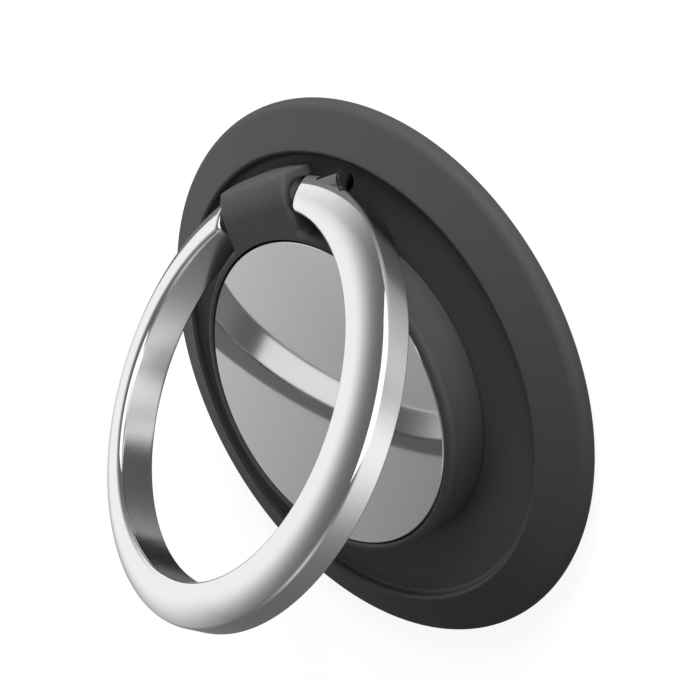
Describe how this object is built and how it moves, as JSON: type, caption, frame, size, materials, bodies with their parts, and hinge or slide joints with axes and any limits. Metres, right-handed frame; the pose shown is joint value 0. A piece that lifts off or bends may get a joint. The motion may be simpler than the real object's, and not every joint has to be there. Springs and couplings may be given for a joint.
{
  "type": "phone ring holder",
  "caption": "Round stick-on phone grip: a flanged disc with a swivelling turret, a polished front plate and a chromed folding finger ring.",
  "frame": {"origin": "centre of the sticky back face, on the swivel axis", "axes": "+Z out of the phone's back along the swivel axis, +Y towards the ring's hinge, X along the hinge pin"},
  "size_m": [0.038, 0.038, 0.0206],
  "materials": {
    "graphite": "satin graphite-black lacquer on zinc casting",
    "chrome": "polished chrome plating on zinc casting",
    "polished_plate": "polished stainless steel",
    "steel": "plain rolled steel",
    "dark_steel": "blackened steel",
    "plastic": "black acetal",
    "film": "adhesive film",
    "foam": "black adhesive foam tape"
  },
  "bodies": {
    "base": {"base_disc": "graphite", "back_cover": "steel", "adhesive_pad": "foam"},
    "turret": {"hub": "graphite", "mirror_plate": "polished_plate", "plate_adhesive": "film", "glide_washer": "plastic", "retaining_plate": "steel", "retaining_screws": "steel", "wave_washer": "steel", "hinge_sleeve": "steel"},
    "ring": {"finger_ring": "chrome", "hinge_pin": "dark_steel", "hinge_washers": "plastic", "hinge_springs": "dark_steel"}
  },
  "joints": [
    {"name": "turret_swivel", "type": "hinge", "parent": "base", "child": "turret", "pos_m": [0, 0, 0], "axis": [0, 0, 1], "continuous": true},
    {"name": "ring_fold", "type": "hinge", "parent": "turret", "child": "ring", "pos_m": [0, 0.01283, 0.00384], "axis": [-1, 0, 0], "range_deg": [-36.3, 131.7]}
  ]
}
